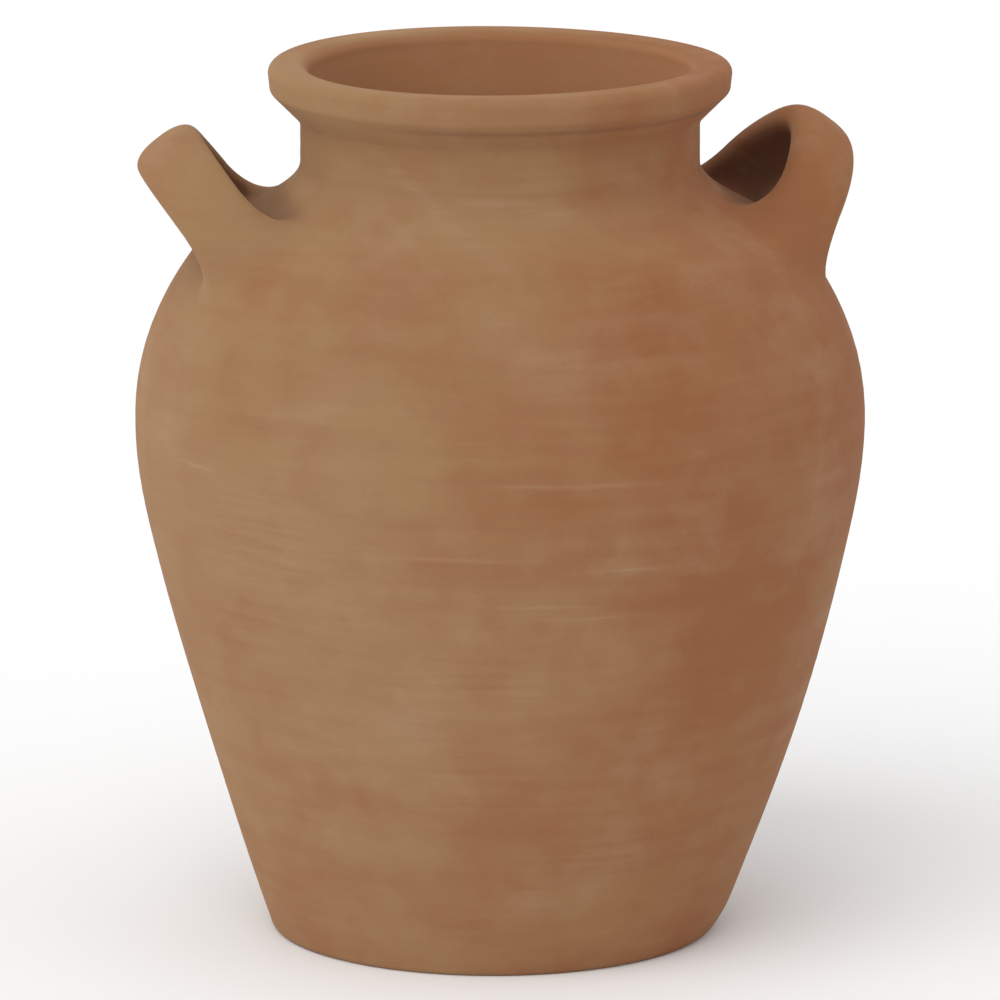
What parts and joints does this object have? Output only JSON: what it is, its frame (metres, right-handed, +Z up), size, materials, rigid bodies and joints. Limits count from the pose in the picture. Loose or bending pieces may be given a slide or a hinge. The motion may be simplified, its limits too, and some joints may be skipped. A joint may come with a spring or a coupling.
{
  "type": "amphora",
  "caption": "Wide-bellied terracotta amphora with a short neck, a thick rolled lip, a flat foot and a pair of upswept strap handles on the shoulder.",
  "frame": {"origin": "centre of the foot, on the surface that the amphora stands on", "axes": "+Z up along the axis of the pot; +X towards the right handle and -X towards the left one; both handles sit about 4 degrees towards +Y from the diameter"},
  "size_m": [0.2536, 0.2536, 0.3056],
  "materials": {
    "terracotta": "matte",
    "luting_clay": "matte"
  },
  "bodies": {
    "root": {"base_disc": "terracotta", "lower_body": "terracotta", "upper_body": "terracotta", "neck_collar": "terracotta", "rim": "terracotta", "handle_right": "terracotta", "handle_right_front_luting": "luting_clay", "handle_right_back_luting": "luting_clay", "handle_left": "terracotta", "handle_left_front_luting": "luting_clay", "handle_left_back_luting": "luting_clay"}
  },
  "joints": []
}
